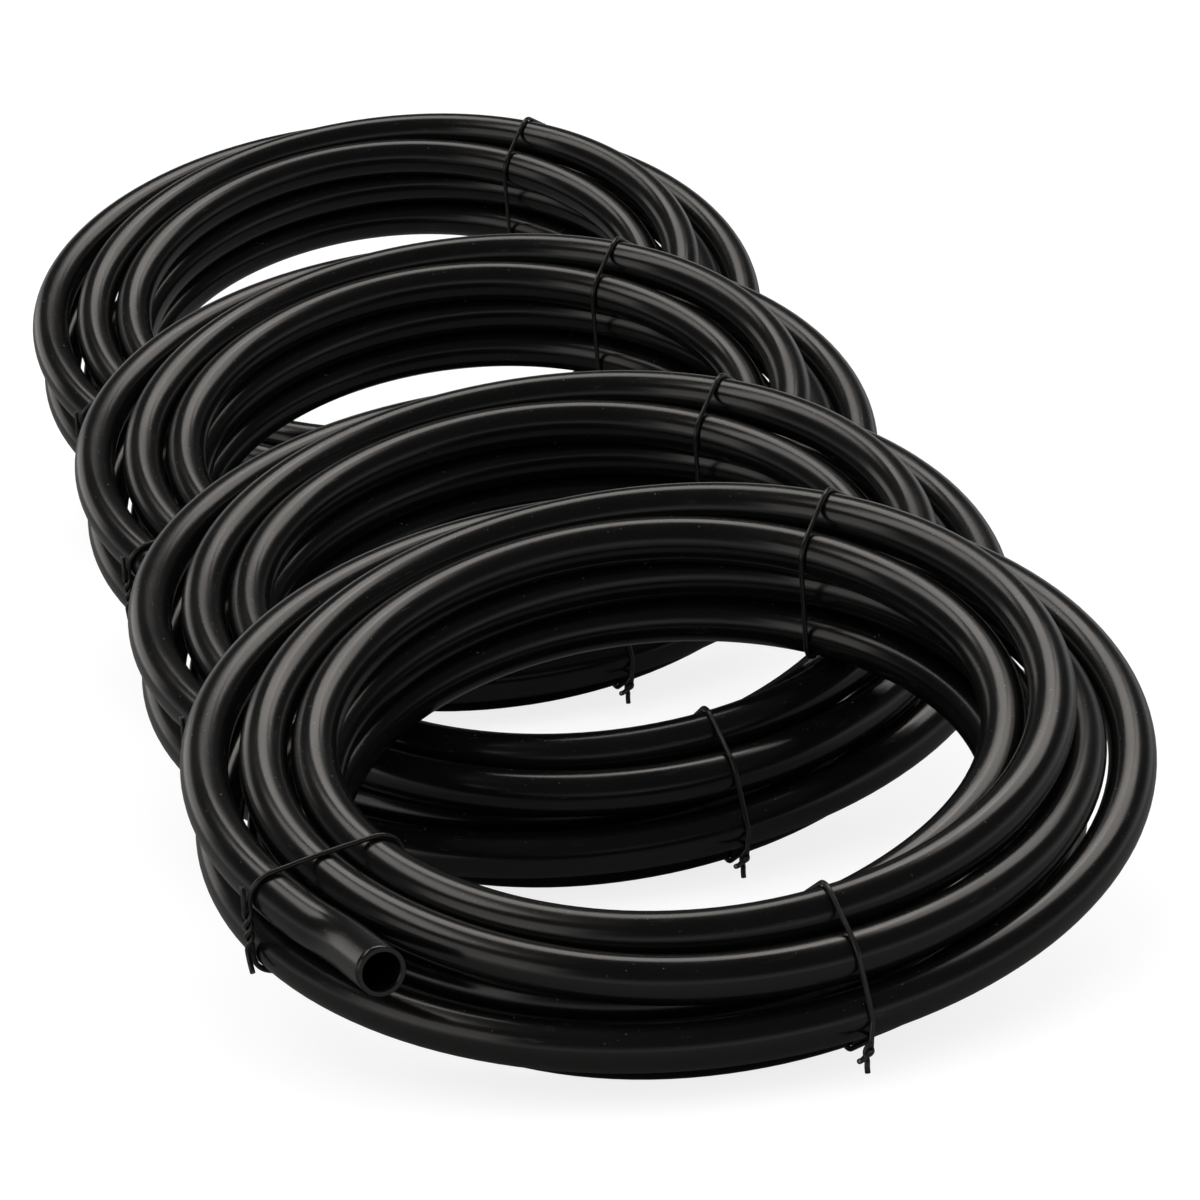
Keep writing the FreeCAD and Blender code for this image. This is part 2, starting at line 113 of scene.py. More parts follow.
# %% [markdown]
# ## Control points of one hose
#
# A NURBS curve of order 3 doesn't pass through its control points. It touches
# the middle of each straight line between two of them, so on a circle it runs
# a little inside. Widening the circle by one over the cosine of half a step
# puts the curve back on the true radius. The first end lies straight under the
# left tie. The last end bends out of the coil and stands free.

# %% Control points
POINTS_PER_TURN = 24
START_LENGTH = 0.016
STUB_LENGTH = 0.018
STUB_BEND = 0.095
FREE_STUB = (15.0, 15.0)
PRESSED_STUB = (8.0, 0.0)


def heading(turn, step=1e-4):
    """The direction in which the hose runs at a count of turns."""
    return (coil_point(turn + step) - coil_point(turn - step)).normalized()


def hose_points(stub_out, stub_rise):
    """Control points of a hose whose last end turns out and rises, in degrees."""
    count = round((LAST_TURN - FIRST_TURN) * POINTS_PER_TURN)
    widen = 1 / math.cos(math.pi / POINTS_PER_TURN)
    turns = [FIRST_TURN + (LAST_TURN - FIRST_TURN) * n / count for n in range(count + 1)]
    first_dir, last_dir = heading(turns[0]), heading(turns[-1])
    points = [coil_point(turns[0]) - first_dir * START_LENGTH]
    points += [coil_point(turn, widen) for turn in turns]
    last_point = coil_point(turns[-1])
    level = math.atan2(last_dir.y, last_dir.x) - math.radians(stub_out)
    rise = math.radians(stub_rise)
    stub_dir = Vector((math.cos(level), math.sin(level), math.tan(rise))).normalized()
    swing = last_dir.angle(stub_dir)
    chord = (last_dir + stub_dir).normalized() * (2 * STUB_BEND * math.sin(swing / 2))
    stub_start = last_point + chord
    points.append(last_point + last_dir * (STUB_BEND * math.tan(swing / 2)))
    points.append(stub_start + stub_dir * (STUB_LENGTH / 2))
    points.append(stub_start + stub_dir * STUB_LENGTH)
    return points


free_points = hose_points(*FREE_STUB)
pressed_points = hose_points(*PRESSED_STUB)
print("control points per hose:", len(free_points))

# %% [markdown]
# ## Where each coil stands
#
# Every coil leans back about its own sideways axis. The record of the CAD model
# holds the centre of each hose's end face. The same end is known here in the
# coil's own frame, so the difference of the two places the whole coil.

# %% Place the four coils
TILTS = [16.8, 15.8, 18.4, 20.5]
hose_routes = [free_points, pressed_points, pressed_points, pressed_points]
coil_places = []
for number, (tilt, route) in enumerate(zip(TILTS, hose_routes), start=1):
    lean = Matrix.Rotation(math.radians(tilt), 4, "X")
    end_face = Vector(mounts["coil_%d_hose_end" % number]["pos_m"])
    place = Matrix.Translation(end_face - lean @ route[-1]) @ lean
    coil_places.append(place)
    print("coil", number, "middle at", [round(v, 4) for v in place.translation])

# %% [markdown]
# ## The camera
#
# The photograph looks down at the row with a long lens from the front, and its
# frame is turned a little. The camera is set from the front coil: how far away
# it is, how steeply it looks down, and where in the frame the coil's middle is.

# %% Camera
SENSOR_WIDTH = 36.0
FRAME_PIXELS = 1200
FOCAL_PIXELS = 5455.0
LOOK_DOWN = 16.17
FRAME_ROLL = 4.9
CAMERA_DISTANCE = 1.8124
COIL_MIDDLE_PIXEL = (661.7, 761.7)
COIL_HALF_HEIGHT = 0.0264

down = math.radians(LOOK_DOWN)
roll = math.radians(FRAME_ROLL)
forward = Vector((0, math.cos(down), -math.sin(down)))
level_up = Vector((0, math.sin(down), math.cos(down)))
level_right = Vector((1, 0, 0))
right = level_right * math.cos(roll) - level_up * math.sin(roll)
up = level_up * math.cos(roll) + level_right * math.sin(roll)
target = coil_places[0] @ Vector((0, 0, COIL_HALF_HEIGHT))
off_right = (COIL_MIDDLE_PIXEL[0] - FRAME_PIXELS / 2) / FOCAL_PIXELS
off_down = (COIL_MIDDLE_PIXEL[1] - FRAME_PIXELS / 2) / FOCAL_PIXELS
eye = target - (forward + right * off_right - up * off_down) * CAMERA_DISTANCE
camera = bpy.data.objects.new("camera", bpy.data.cameras.new("camera"))
camera.data.sensor_fit = "HORIZONTAL"
camera.data.sensor_width = SENSOR_WIDTH
camera.data.lens = SENSOR_WIDTH * FOCAL_PIXELS / FRAME_PIXELS
camera.matrix_world = Matrix.Translation(eye) @ Matrix((right, up, -forward)).transposed().to_4x4()
bpy.context.scene.collection.objects.link(camera)
bpy.context.scene.camera = camera
print("camera at", [round(v, 3) for v in eye], "target", [round(v, 4) for v in target])

# %% [markdown]
# ## A smooth line, read back as points
#
# Blender works out the NURBS spline. Converting a curve with no thickness to a
# mesh gives the points of its line, and those are what the tubes below follow.


# %% From control points to a line
def smooth_line(points, steps):
    """Points of the NURBS line through a route, with some steps per control point."""
    curve = bpy.data.curves.new("route", "CURVE")
    curve.dimensions = "3D"
    curve.resolution_u = steps
    spline = curve.splines.new("NURBS")
    spline.points.add(len(points) - 1)
    for spot, point in zip(spline.points, points):
        spot.co = (*point, 1.0)
    spline.order_u = 3
    spline.use_endpoint_u = True
    holder = bpy.data.objects.new("route", curve)
    bpy.context.scene.collection.objects.link(holder)
    mesh = bpy.data.meshes.new_from_object(holder)
    line = [vertex.co.copy() for vertex in mesh.vertices]
    bpy.data.objects.remove(holder)
    bpy.data.curves.remove(curve)
    bpy.data.meshes.remove(mesh)
    return line


free_line = smooth_line(free_points, 6)
pressed_line = smooth_line(pressed_points, 6)
print("line points:", len(free_line))

# %% [markdown]
# ## A tube from a grid
#
# A tube with a wall is one skin: it runs along the outside, turns round the rim,
# comes back through the bore and closes on itself. So one flat grid is enough.
# Its long way follows that skin, its short way goes round, and each vertex is
# moved to its place. Merging doubles then closes the seam. Each vertex also
# keeps where it would be if the hose lay straight, so that scratches and
# extrusion lines can follow the hose.


# %% The tube maker
def stations(line):
    """Each point of a line with its distance and two directions across it."""
    found = []
    travelled = 0.0
    side = None
    for number, point in enumerate(line):
        ahead = (line[min(number + 1, len(line) - 1)] - line[max(number - 1, 0)]).normalized()
        if side is None:
            side = ahead.orthogonal().normalized()
        else:
            travelled += (point - line[number - 1]).length
        side = (side - ahead * side.dot(ahead)).normalized()
        found.append((point, travelled, side, ahead.cross(side)))
    return found


def tube_mesh(name, line, skin, sides):
    """A mesh that wraps a grid round a line. The skin lists (station, radius)."""
    places = stations(line)
    mesh = bmesh.new()
    bmesh.ops.create_grid(mesh, x_segments=len(skin) - 1, y_segments=sides, size=0.5)
    lay = mesh.verts.layers.float_vector.new("laid_straight")
    for vertex in mesh.verts:
        station, radius = skin[round((vertex.co.x + 0.5) * (len(skin) - 1))]
        angle = 2 * math.pi * ((vertex.co.y + 0.5) % 1.0)
        point, travelled, side, across = places[station]
        wide, tall = radius * math.cos(angle), radius * math.sin(angle)
        vertex.co = point + side * wide + across * tall
        vertex[lay] = (travelled, wide, tall)
    bmesh.ops.remove_doubles(mesh, verts=mesh.verts, dist=1e-7)
    bmesh.ops.recalc_face_normals(mesh, faces=mesh.faces)
    for face in mesh.faces:
        face.smooth = True
    data = bpy.data.meshes.new(name)
    mesh.to_mesh(data)
    mesh.free()
    return data


def hollow_skin(count, outside, inside, rounding):
    """Stations and radii out along the outside and back through the bore."""
    wall = [(0, outside - rounding)] + [(n, outside) for n in range(0, count)]
    wall += [(count - 1, outside - rounding), (count - 1, inside + rounding)]
    wall += [(n, inside) for n in range(count - 1, -1, -1)]
    return wall + [(0, inside + rounding), (0, outside - rounding)]


# %% [markdown]
# ## The four hoses
#
# Each hose is the same tube, moved to where its coil stands. Its lowest turn
# rests on the floor, so what would reach below is pressed flat on it. Every
# hose stands for its solid in the CAD model and rides on that coil's body.

# %% Hoses
HOSE_SIDES = 40
RIM_ROUNDING = 0.0002


def moved(line, place):
    """A line's points, moved from the coil's own frame to its place."""
    return [place @ point for point in line]


def length_of(line):
    """The distance along a line from end to end."""
    return sum((b - a).length for a, b in zip(line, line[1:]))


def piece(name, data, body, node, material):
    """A finished piece that stands for a CAD node and rides on a body."""
    made = bpy.data.objects.new(name, data)
    bpy.context.scene.collection.objects.link(made)
    made.data.materials.append(material)
    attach(made, body)
    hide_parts(node)
    return made


black_hose = bpy.data.materials.new("black_hose")
black_jacket = bpy.data.materials.new("black_jacket")
tie_steel = bpy.data.materials.new("tie_steel")
hose_lines = [free_line, pressed_line, pressed_line, pressed_line]
for number, (line, place) in enumerate(zip(hose_lines, coil_places), start=1):
    coil = "coil_%d" % number
    path = moved(line, place)
    skin = hollow_skin(len(path), HOSE_OD / 2, HOSE_BORE / 2, RIM_ROUNDING)
    data = tube_mesh(coil + "_tube", path, skin, HOSE_SIDES)
    for vertex in data.vertices:
        vertex.co.z = max(vertex.co.z, 0.0)
    tube = piece(coil + "_tube", data, coil, coil + "_hose", black_hose)
    print(tube.name, "length", round(length_of(path), 3), "m,", len(data.polygons), "faces")

# %% [markdown]
# ## The wire ties
#
# A tie is a soft steel wire in a plastic jacket. It is drawn round all the
# turns and its ends are twisted together. A wire under tension takes the
# shortest way round, which is the convex hull of the hoses' sections where its
# plane cuts them. So the band is the hull of small circles, one per turn, and
# the ends are two screw lines half a turn apart. On the left tie they lie along
# the band, and on the other two they stand out of it.

# %% Sizes of the ties
TIE_OD = 0.0018
WIRE_OD = 0.0008
JACKET_BORE = 0.0009
TIE_CLEARANCE = 0.00012
TWIST_GAP = 0.00012
TWIST_RADIUS = (TIE_OD + TWIST_GAP) / 2
TWIST_PITCH = 0.0085
TWIST_LENGTH = 0.0055
TWIST_EASE = 0.25
TAIL_AHEAD = 0.003
TAIL_APART = 0.0025
KNOT_REACH = 0.0044
KNOT_LIFT = 0.0004
SPLICE_TURNS = 1.5
SPLICE_EASE = 0.2
SPLICE_REACH = 0.011
SPLICE_TAIL = 0.0075
LOW_TAIL = (0.75, 0.25, -0.60)
HIGH_TAIL = (-0.45, -0.22, 0.85)
MIDDLE_RADIUS = (RING_OD - HOSE_OD - LANES_WIDE * LANE) / 2
# name, plan angle, slant, knot angle, the knot's shift along the band, and the
# lean of its twist along, outward and round (no lean: a splice)
TIES = [
    ("left_tie", 212.5, -9.0, 0.0, 0.0105, None),
    ("right_tie", 291.5, -4.0, -15.0, 0.0, (-0.65, 0.72, -0.22)),
    ("back_tie", 60.0, 4.0, 0.0, 0.0, (0.95, 0.30, 0.0)),
]


# %% The band of one tie
def turn_spots(line, outward, along, shear):
    """Where a tie's plane cuts the turns, as distance outward and height."""
    spots = []
    for here, ahead in zip(line, line[1:]):
        off, off_ahead = (
            p.dot(along) - shear * (p.dot(outward) - MIDDLE_RADIUS) for p in (here, ahead))
        if here.dot(outward) > 0 and off <= 0 < off_ahead:
            spot = here.lerp(ahead, -off / (off_ahead - off))
            spots.append((spot.dot(outward), spot.z))
    return spots


def band_line(spots, knot_angle, knot_shift):
    """The hull round the turns, from the knot round to the knot, in the plane."""
    reach = HOSE_OD / 2 + TIE_CLEARANCE + TIE_OD / 2
    steps = [math.radians(5 * n) for n in range(72)]
    ring = [(r + reach * math.cos(a), z + reach * math.sin(a)) for r, z in spots for a in steps]
    hull = [Vector(ring[n]) for n in convex_hull_2d(ring)]
    if sum(a.cross(b) for a, b in zip(hull, hull[1:] + hull[:1])) < 0:
        hull.reverse()
    knot = math.radians(knot_angle)
    towards = Vector((math.cos(knot), math.sin(knot)))
    start = max(range(len(hull)), key=lambda n: hull[n].dot(towards))
    band = hull[start:] + hull[:start + 1]
    while knot_shift > (band[1] - band[0]).length:
        knot_shift -= (band[1] - band[0]).length
        band = band[1:] + [band[1]]
    if knot_shift:
        spot = band[0] + (band[1] - band[0]).normalized() * knot_shift
        band = [spot] + band[1:] + [spot]
    return band


def between_reaches(band, reach):
    """The band's points that lie further than a reach from the knot."""
    total = sum((b - a).length for a, b in zip(band, band[1:]))
    kept, travelled = [], 0.0
    for number, spot in enumerate(band):
        travelled += (spot - band[number - 1]).length if number else 0.0
        if reach < travelled < total - reach:
            kept.append(spot)
    return kept


# %% The two kinds of knot
def leaning(directions, lean):
    """The unit vector with these parts along three directions."""
    return sum((d * part for d, part in zip(directions, lean)), Vector()).normalized()


def standing_ends(knot, directions, lean):
    """The two ends where they stand out of the band, twisted together."""
    axis = leaning(directions, lean)
    normal, round_dir = directions[1:]
    across = (round_dir - axis * round_dir.dot(axis)).normalized()
    side = axis.cross(across)
    root = knot + normal * KNOT_LIFT + axis * (KNOT_REACH - TWIST_RADIUS)
    turns = TWIST_LENGTH / TWIST_PITCH

    def strand(begin):
        points = []
        steps = math.ceil(turns * 12)
        for number in range(steps + 1):
            share = number / steps
            early = share < TWIST_EASE
            eased = share ** 2 / (2 * TWIST_EASE) if early else share - TWIST_EASE / 2
            swing = begin + 2 * math.pi * turns * eased
            offset = (across * math.cos(swing) + side * math.sin(swing)) * TWIST_RADIUS
            points.append(root + axis * (TWIST_LENGTH * share) + offset)
        tail = axis * TAIL_AHEAD + offset.normalized() * TAIL_APART
        middle = points[-1] + tail * 0.4 + axis * (TAIL_AHEAD * 0.2)
        return points + [middle, points[-1] + tail]

    return strand(0.0)[::-1], strand(math.pi)


def spliced_ends(knot, directions):
    """The two ends where they lie along the band, wrapped round each other.

    Both run up the band. The first comes from its tail below, the other goes
    on into its tail above.
    """
    along, normal, round_dir = directions
    middle = knot + normal * TWIST_RADIUS
    length = SPLICE_TURNS * TWIST_PITCH / (1 - SPLICE_EASE)

    def strand(begin):
        points = []
        steps = math.ceil(SPLICE_TURNS * 14)
        for number in range(steps + 1):
            share = number / steps
            near = min(share, 1 - share)
            early = near < SPLICE_EASE
            eased = near ** 2 / (2 * SPLICE_EASE) if early else near - SPLICE_EASE / 2
            eased /= 1 - SPLICE_EASE
            swing = begin + 2 * math.pi * SPLICE_TURNS * (eased if share < 0.5 else 1 - eased)
            offset = (normal * math.cos(swing) + along * math.sin(swing)) * TWIST_RADIUS
            points.append(middle + round_dir * (length * (share - 0.5)) + offset)
        return points

    def tail(end, ahead, lean):
        # it leaves along the splice and bends to its own direction
        reach = leaning(directions, lean) * SPLICE_TAIL
        return [end + reach * 0.45 + ahead * (SPLICE_TAIL * 0.14), end + reach]

    first, last = strand(0.0), strand(math.pi)
    first = tail(first[0], -round_dir, LOW_TAIL)[::-1] + first
    return first, last + tail(last[-1], round_dir, HIGH_TAIL)


# %% The line of one tie
def tie_line(line, angle, slant, knot_angle, knot_shift, lean):
    """The middle line of a tie round a hose's line, tip to tip."""
    plan = math.radians(angle)
    outward = Vector((math.cos(plan), math.sin(plan), 0))
    along = Vector((-math.sin(plan), math.cos(plan), 0))
    upward = Vector((0, 0, 1))
    shear = math.tan(math.radians(slant))
    band = band_line(turn_spots(line, outward, along, shear), knot_angle, knot_shift)

    def place(spot):
        return outward * spot[0] + along * (shear * (spot[0] - MIDDLE_RADIUS)) + upward * spot[1]

    ahead = (band[1] - band[-2]).normalized()
    round_dir = outward * ahead.x + upward * ahead.y
    normal = outward * ahead.y - upward * ahead.x
    directions = (along, normal, round_dir)
    if lean is None:
        first, last = spliced_ends(place(band[0]), directions)
    else:
        first, last = standing_ends(place(band[0]), directions, lean)
    loop = between_reaches(band, KNOT_REACH if lean else SPLICE_REACH)
    return smooth_line(first + [place(spot) for spot in loop] + last, 3)


# %% Jackets and wires
def solid_skin(count, radius):
    """Stations and radii of a plain wire, closed at both ends."""
    return [(0, 0.0)] + [(n, radius) for n in range(count)] + [(count - 1, 0.0)]


for name, *facts in TIES:
    tie = tie_line(free_line, *facts)
    print(name, "length", round(length_of(tie), 4), "m,", len(tie), "points")
    for number, place in enumerate(coil_places, start=1):
        coil = "coil_%d" % number
        path = moved(tie, place)
        jacket_skin = hollow_skin(len(path), TIE_OD / 2, JACKET_BORE / 2, TIE_OD / 18)
        for ending, skin, sides, slot, material in (
                ("jacket", jacket_skin, 14, "tie_jacket", black_jacket),
                ("wire", solid_skin(len(path), WIRE_OD / 2), 10, "tie_wire", tie_steel)):
            node = "%s_%s_%s" % (coil, name, ending)
            data = tube_mesh("%s_%s_%s" % (coil, ending, name), path, skin, sides)
            made = piece(data.name, data, coil, node, material)

# %% [markdown]
# ## Materials
#
# Black polyethylene isn't quite black and not quite smooth. The die leaves
# faint lines along it, handling leaves dull scuffs, dust settles on top, and
# the knife leaves a duller face at the end. These follow the hose, so they read
# the place that each vertex would have if the hose lay straight. Effects that
# two materials share are node groups.


# %% Small helpers for nodes
def add(tree, kind, **settings):
    """A node with its properties and unlinked inputs set by name."""
    node = tree.nodes.new(kind)
    for key, value in settings.items():
        if hasattr(node, key):
            setattr(node, key, value)
        else:
            node.inputs[key.replace("_", " ")].default_value = value
    return node


def link(tree, source, target):
    """A wire from an output to an input."""
    tree.links.new(source, target)


def spread(tree, value, low, high, to_low=0.0, to_high=1.0):
    """Maps one range of a value to another, smoothly and clamped."""
    node = add(tree, "ShaderNodeMapRange", interpolation_type="SMOOTHSTEP", From_Min=low,
               From_Max=high, To_Min=to_low, To_Max=to_high)
    link(tree, value, node.inputs["Value"])
    return node.outputs["Result"]


def mixed(tree, low, high, factor):
    """A colour between two, by a factor. Each may be a colour or a socket."""
    node = add(tree, "ShaderNodeMix", data_type="RGBA")
    for label, colour in (("A", low), ("B", high)):
        if isinstance(colour, tuple):
            node.inputs[label].default_value = (*colour, 1)
        else:
            link(tree, colour, node.inputs[label])
    link(tree, factor, node.inputs["Factor"])
    return node.outputs["Result"]


def product(tree, one, other):
    """Two values multiplied."""
    node = add(tree, "ShaderNodeMath", operation="MULTIPLY")
    link(tree, one, node.inputs[0])
    link(tree, other, node.inputs[1])
    return node.outputs["Value"]


def raised(tree, value, share, factor):
    """A value plus a share of a factor."""
    node = add(tree, "ShaderNodeMath", operation="MULTIPLY_ADD")
    node.inputs[1].default_value = share
    link(tree, factor, node.inputs[0])
    link(tree, value, node.inputs[2])
    return node.outputs["Value"]


def noise(tree, place, stretch, **settings):
    """Noise at a place that is first scaled by a stretch."""
    scaled = add(tree, "ShaderNodeMapping", vector_type="POINT")
    scaled.inputs["Scale"].default_value = stretch
    link(tree, place, scaled.inputs["Vector"])
    node = add(tree, "ShaderNodeTexNoise", Scale=1.0, **settings)
    link(tree, scaled.outputs["Vector"], node.inputs["Vector"])
    return node.outputs["Fac"]


def group_of(name, inputs, outputs):
    """A node group with its sockets; inputs are (name, kind, default)."""
    group = bpy.data.node_groups.new(name, "ShaderNodeTree")
    for label, kind, default in inputs:
        socket = group.interface.new_socket(label, in_out="INPUT", socket_type=kind)
        if default is not None:
            socket.default_value = default
    for label, kind in outputs:
        group.interface.new_socket(label, in_out="OUTPUT", socket_type=kind)
    return group, group.nodes.new("NodeGroupInput"), group.nodes.new("NodeGroupOutput")


def group_node(tree, group, place, **values):
    """A node that shows a group, at a place and with these values."""
    node = tree.nodes.new("ShaderNodeGroup")
    node.node_tree = group
    link(tree, place, node.inputs["Place"])
    for key, value in values.items():
        node.inputs[key].default_value = value
    return node


def material_tree(material):
    """A material's node tree and its Principled shader."""
    material.use_nodes = True
    return material.node_tree, material.node_tree.nodes["Principled BSDF"]


def laid_straight(tree):
    """The place on the hose or tie as if it lay straight."""
    node = add(tree, "ShaderNodeAttribute", attribute_name="laid_straight")
    return node.outputs["Vector"]


# %% Shared effect: lines drawn along the surface by the die
die_lines, given, taken = group_of(
    "die_lines",
    [("Place", "NodeSocketVector", None),
     ("Stretch", "NodeSocketFloat", 0.01),
     ("Fineness", "NodeSocketFloat", 900.0)],
    [("Lines", "NodeSocketFloat")])
combine = add(die_lines, "ShaderNodeCombineXYZ", X=1.0, Y=1.0, Z=1.0)
link(die_lines, given.outputs["Stretch"], combine.inputs["X"])
pull = add(die_lines, "ShaderNodeVectorMath", operation="MULTIPLY")
link(die_lines, given.outputs["Place"], pull.inputs[0])
link(die_lines, combine.outputs["Vector"], pull.inputs[1])
grain = add(die_lines, "ShaderNodeTexNoise", Detail=3.0, Roughness=0.6)
link(die_lines, pull.outputs["Vector"], grain.inputs["Vector"])
link(die_lines, given.outputs["Fineness"], grain.inputs["Scale"])
link(die_lines, grain.outputs["Fac"], taken.inputs["Lines"])

# %% Shared effect: dust that settles on what faces up
dust, given, taken = group_of(
    "settled_dust",
    [("Place", "NodeSocketVector", None),
     ("Size", "NodeSocketFloat", 700.0),
     ("Rarity", "NodeSocketFloat", 0.72)],
    [("Dust", "NodeSocketFloat")])
specks = add(dust, "ShaderNodeTexNoise", Detail=2.0, Roughness=0.5)
link(dust, given.outputs["Place"], specks.inputs["Vector"])
link(dust, given.outputs["Size"], specks.inputs["Scale"])
over = add(dust, "ShaderNodeMath", operation="SUBTRACT")
link(dust, specks.outputs["Fac"], over.inputs[0])
link(dust, given.outputs["Rarity"], over.inputs[1])
facing = add(dust, "ShaderNodeNewGeometry")
apart = add(dust, "ShaderNodeSeparateXYZ")
link(dust, facing.outputs["Normal"], apart.inputs["Vector"])
upper = spread(dust, apart.outputs["Z"], 0.2, 0.9)
settled = product(dust, spread(dust, over.outputs["Value"], 0.0, 0.03), upper)
link(dust, settled, taken.inputs["Dust"])

# %% The hose's plastic: scuffs, dust and die lines
tree, shader = material_tree(black_hose)
place = laid_straight(tree)
lines = group_node(tree, die_lines, place, Stretch=0.012, Fineness=700.0)
specks = group_node(tree, dust, place, Size=900.0, Rarity=0.73)
scuffs = noise(tree, place, (40.0, 260.0, 260.0), Detail=5.0, Roughness=0.7)
scuffed = spread(tree, scuffs, 0.60, 0.74)
patches = add(tree, "ShaderNodeTexNoise", Scale=28.0, Detail=4.0, Roughness=0.55)
link(tree, place, patches.inputs["Vector"])
gloss = spread(tree, patches.outputs["Fac"], 0.3, 0.7, 0.18, 0.24)
dull = raised(tree, gloss, 0.12, scuffed)
worn = mixed(tree, (0.0019, 0.0018, 0.0017), (0.007, 0.0067, 0.0064), scuffed)

# %% The hose's cut end: only its face lies between the bore and the outside
EDGE_FROM, EDGE_TO = 0.00005, 0.00025
flat = add(tree, "ShaderNodeVectorMath", operation="MULTIPLY")
flat.inputs[1].default_value = (0, 1, 1)
link(tree, place, flat.inputs[0])
from_middle = add(tree, "ShaderNodeVectorMath", operation="LENGTH")
link(tree, flat.outputs["Vector"], from_middle.inputs[0])
radius = from_middle.outputs["Value"]
past_bore = spread(tree, radius, HOSE_BORE / 2 + EDGE_FROM, HOSE_BORE / 2 + EDGE_TO)
inside = spread(tree, radius, HOSE_OD / 2 - EDGE_TO, HOSE_OD / 2 - EDGE_FROM, 1.0, 0.0)
cut = product(tree, past_bore, inside)
blade = noise(tree, place, (1.0, 500.0, 9000.0), Detail=2.0, Roughness=0.5)
faced = mixed(tree, worn, (0.008, 0.0078, 0.0075), cut)
dusty = mixed(tree, faced, (0.12, 0.115, 0.11), specks.outputs["Dust"])
link(tree, dusty, shader.inputs["Base Color"])
link(tree, raised(tree, dull, 0.28, cut), shader.inputs["Roughness"])
drawn = add(tree, "ShaderNodeBump", Strength=0.03, Distance=0.0002)
link(tree, lines.outputs["Lines"], drawn.inputs["Height"])
bladed = add(tree, "ShaderNodeBump", Strength=0.3, Distance=0.00005)
link(tree, product(tree, cut, blade), bladed.inputs["Height"])
link(tree, drawn.outputs["Normal"], bladed.inputs["Normal"])
link(tree, bladed.outputs["Normal"], shader.inputs["Normal"])

# %% The ties' plastic
tree, shader = material_tree(black_jacket)
lines = group_node(tree, die_lines, laid_straight(tree), Stretch=0.05, Fineness=2500.0)
worn = spread(tree, lines.outputs["Lines"], 0.45, 0.75)
colour = mixed(tree, (0.003, 0.0029, 0.0028), (0.014, 0.0135, 0.013), worn)
link(tree, colour, shader.inputs["Base Color"])
link(tree, spread(tree, lines.outputs["Lines"], 0.3, 0.7, 0.22, 0.32), shader.inputs["Roughness"])
bump = add(tree, "ShaderNodeBump", Strength=0.25, Distance=0.0001)
link(tree, lines.outputs["Lines"], bump.inputs["Height"])
link(tree, bump.outputs["Normal"], shader.inputs["Normal"])

# %% The ties' steel
tree, shader = material_tree(tie_steel)
lines = group_node(tree, die_lines, laid_straight(tree), Stretch=0.05, Fineness=6000.0)
shader.inputs["Metallic"].default_value = 1.0
colour = mixed(tree, (0.42, 0.42, 0.43), (0.60, 0.60, 0.61), lines.outputs["Lines"])
link(tree, colour, shader.inputs["Base Color"])
link(tree, spread(tree, lines.outputs["Lines"], 0.3, 0.7, 0.25, 0.45), shader.inputs["Roughness"])

# %% [markdown]
# ## Floor and light
#
# Black gloss shows its lamps more than itself. So the soft boxes are placed by
# where the plastic should mirror them: three bright ones high up, to the left,
# behind and to the right, and two dim ones lower down on the left. The floor
# and the backdrop are white where the camera sees them, and dimmer in what the
# plastic mirrors. The floor glows, as a lit table does, so its shadows stay
# faint.

# %% Floor
FLOOR_HALF = 12.0
FLOOR_GLOW = 0.82
mesh = bmesh.new()
bmesh.ops.create_grid(mesh, x_segments=2, y_segments=2, size=FLOOR_HALF)
data = bpy.data.meshes.new("floor")
mesh.to_mesh(data)
mesh.free()
floor = bpy.data.objects.new("floor", data)
bpy.context.scene.collection.objects.link(floor)
pale_floor = bpy.data.materials.new("pale_floor")
tree, shader = material_tree(pale_floor)
ray = add(tree, "ShaderNodeLightPath")
tone = mixed(tree, (0.82, 0.82, 0.82), (0.20, 0.195, 0.19), ray.outputs["Is Glossy Ray"])
tone = mixed(tree, tone, (0.24, 0.24, 0.24), ray.outputs["Is Camera Ray"])
link(tree, tone, shader.inputs["Base Color"])
shader.inputs["Roughness"].default_value = 0.9
shader.inputs["Specular IOR Level"].default_value = 0.1
shader.inputs["Emission Color"].default_value = (1, 1, 1, 1)
glow = add(tree, "ShaderNodeMath", operation="MULTIPLY")
glow.inputs[1].default_value = FLOOR_GLOW
link(tree, ray.outputs["Is Camera Ray"], glow.inputs[0])
link(tree, glow.outputs["Value"], shader.inputs["Emission Strength"])
floor.data.materials.append(pale_floor)

# %% Lamps
ROW_MIDDLE = Vector((-0.05, 0.40, 0.06))
LAMP_DISTANCE = 6.0
LAMP_COLOUR = (1.0, 0.95, 0.90)
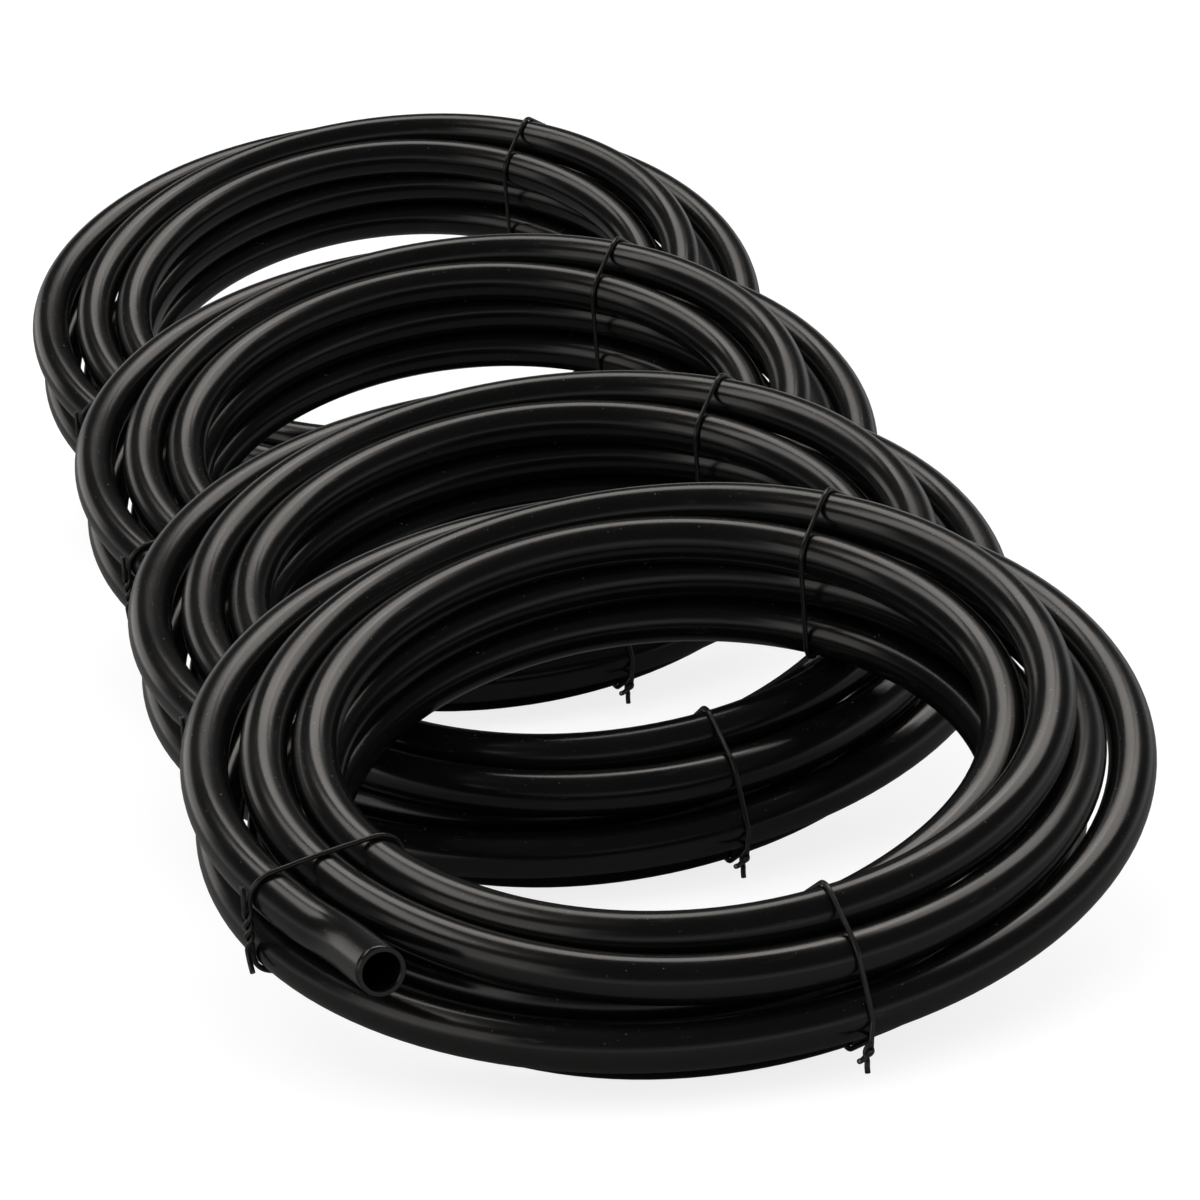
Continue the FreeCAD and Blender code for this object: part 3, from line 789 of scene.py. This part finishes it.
# name, degrees round from straight behind, degrees up, width, height, brightness
SOFT_BOXES = [
    ("left_box", -76.0, 61.0, 4.6, 1.6, 2.6),
    ("back_box", 2.0, 61.0, 2.6, 2.6, 2.9),
    ("right_box", 47.0, 58.0, 3.0, 2.8, 2.5),
    ("low_back_box", -44.0, 14.0, 3.0, 2.4, 0.9),
    ("low_left_box", -125.0, 22.0, 3.6, 3.0, 1.0),
]
for name, turn, rise, width, height, brightness in SOFT_BOXES:
    lamp = bpy.data.lights.new(name, "AREA")
    lamp.shape = "RECTANGLE"
    lamp.size, lamp.size_y = width, height
    lamp.energy = brightness * math.pi * width * height
    lamp.color = LAMP_COLOUR
    turn, rise = math.radians(turn), math.radians(rise)
    level = Vector((math.sin(turn), math.cos(turn), 0))
    towards = level * math.cos(rise) + Vector((0, 0, math.sin(rise)))
    holder = bpy.data.objects.new(name, lamp)
    holder.location = ROW_MIDDLE + towards * LAMP_DISTANCE
    holder.rotation_euler = towards.to_track_quat("Z", "Y").to_euler()
    holder.visible_diffuse = False
    bpy.context.scene.collection.objects.link(holder)
    print(name, round(lamp.energy), "W")

# %% Backdrop
BACKDROP_LIGHT = 1.15
MIRRORED_LOW, MIRRORED_HIGH = 0.50, 0.05
world = bpy.data.worlds.new("studio")
bpy.context.scene.world = world
world.use_nodes = True
tree = world.node_tree
backdrop = tree.nodes["Background"]
backdrop.inputs["Color"].default_value = (1, 1, 1, 1)
ray = add(tree, "ShaderNodeLightPath")
direction = add(tree, "ShaderNodeTexCoord")
apart = add(tree, "ShaderNodeSeparateXYZ")
link(tree, direction.outputs["Generated"], apart.inputs["Vector"])
mirrored = spread(tree, apart.outputs["Z"], 0.05, 0.40, MIRRORED_LOW, MIRRORED_HIGH)
dimmed = add(tree, "ShaderNodeMix", data_type="FLOAT")
dimmed.inputs["A"].default_value = BACKDROP_LIGHT
link(tree, ray.outputs["Is Glossy Ray"], dimmed.inputs["Factor"])
link(tree, mirrored, dimmed.inputs["B"])
seen = add(tree, "ShaderNodeMix", data_type="FLOAT")
seen.inputs["B"].default_value = 1.0
link(tree, ray.outputs["Is Camera Ray"], seen.inputs["Factor"])
link(tree, dimmed.outputs["Result"], seen.inputs["A"])
link(tree, seen.outputs["Result"], backdrop.inputs["Strength"])
bpy.context.scene.view_settings.view_transform = "Standard"
